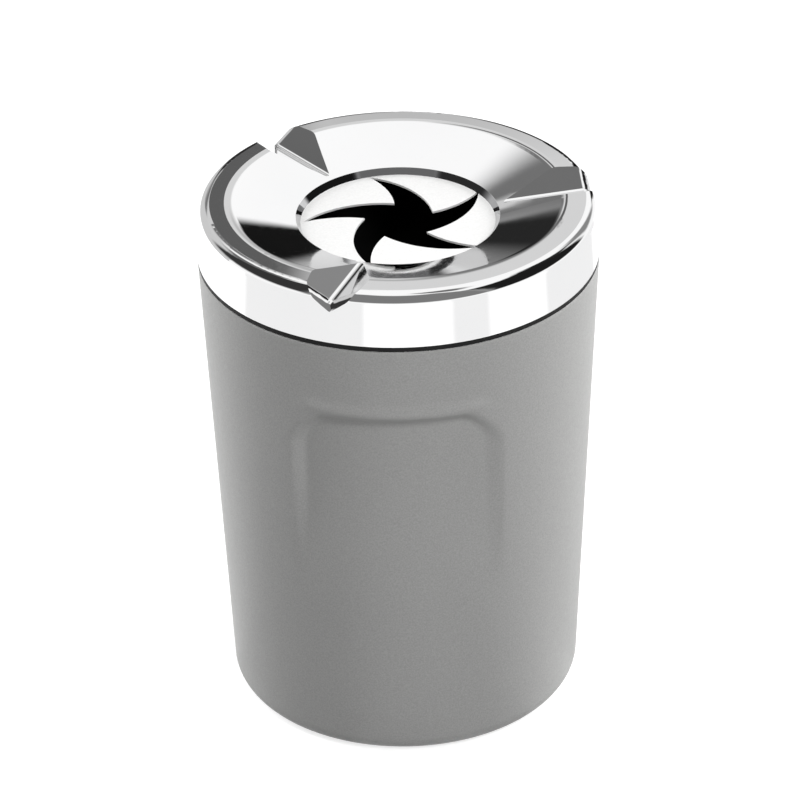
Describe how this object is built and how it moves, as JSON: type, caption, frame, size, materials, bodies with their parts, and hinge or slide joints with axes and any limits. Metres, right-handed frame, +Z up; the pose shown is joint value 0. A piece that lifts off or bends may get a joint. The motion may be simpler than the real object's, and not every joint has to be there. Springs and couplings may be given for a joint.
{
  "type": "car ashtray",
  "caption": "Tapered cup-holder ashtray: grey cup with thumb grips, hanging black liner, and a lift-off chrome lid with a dish, V-shaped cigarette rests and a pinwheel opening.",
  "frame": {"origin": "centre of the foot, on the surface that the ashtray stands on", "axes": "+Z up along the axis of the cup, -Y towards the thumb grip that the picture shows"},
  "size_m": [0.0754, 0.0754, 0.103],
  "materials": {
    "cup_grey": "satin",
    "liner_black": "matt",
    "seal_rubber": "matt",
    "lid_chrome": "mirror",
    "plate_satin": "satin",
    "screw_steel": "satin"
  },
  "bodies": {
    "cup": {"outer_cup": "cup_grey", "inner_liner": "liner_black", "neck_seal": "seal_rubber"},
    "lid": {"lid_shell": "lid_chrome", "pinwheel_plate": "plate_satin", "plate_screws": "screw_steel"}
  },
  "joints": [
    {"name": "lid_lift", "type": "slide", "parent": "cup", "child": "lid", "axis": [0, 0, 1], "range_m": [0, 0.05]}
  ]
}
